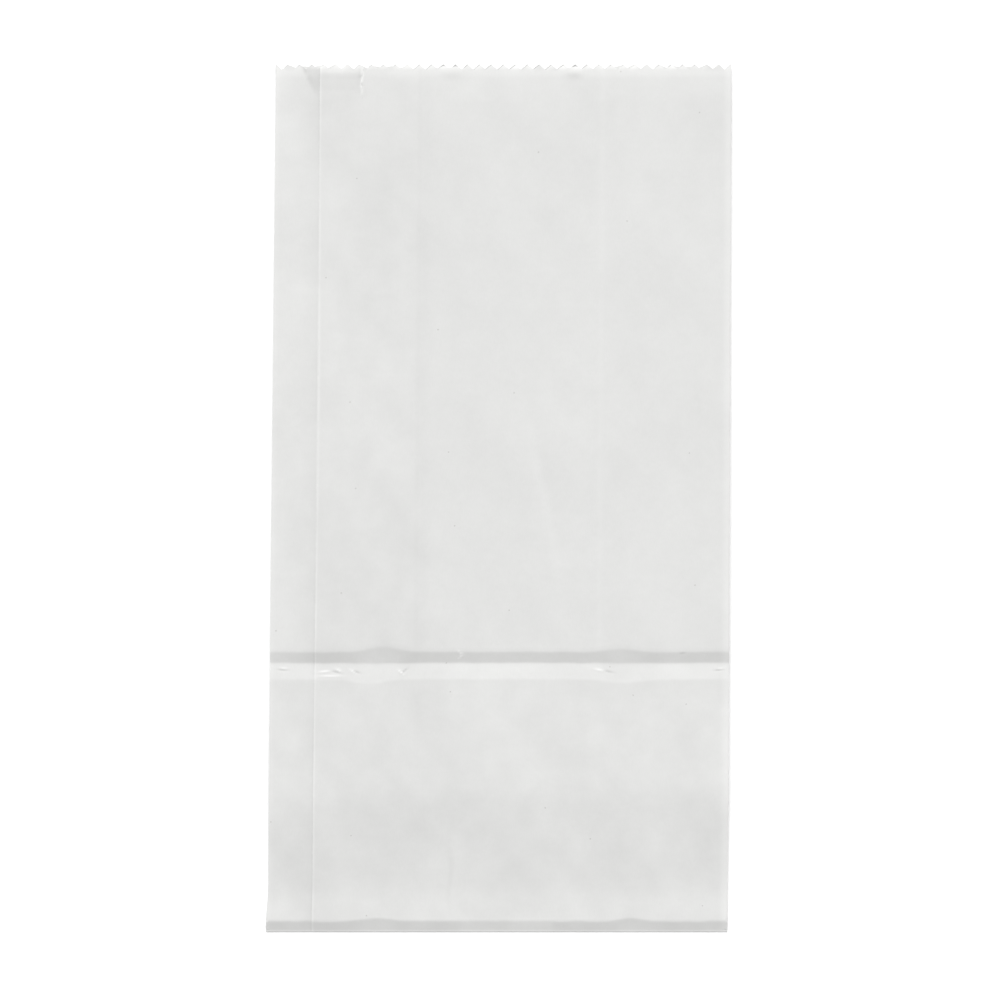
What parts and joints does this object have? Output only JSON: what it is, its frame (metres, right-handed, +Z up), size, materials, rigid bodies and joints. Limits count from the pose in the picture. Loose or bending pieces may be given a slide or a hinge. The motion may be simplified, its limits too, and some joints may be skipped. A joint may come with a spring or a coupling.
{
  "type": "popcorn bag",
  "caption": "Flat-folded white paper bag with gusseted sides, a lengthwise glued seam, a serrated mouth and a square bottom folded under the back.",
  "frame": {"origin": "centre of the bag's outline on the table it lies on", "axes": "+X across the bag, +Y along it towards the serrated mouth, +Z up, out of the seam face"},
  "size_m": [0.152, 0.287, 0.0032],
  "materials": {
    "paper": "matte, slightly calendered"
  },
  "bodies": {
    "root": {"paper_bag": "paper"}
  },
  "joints": []
}
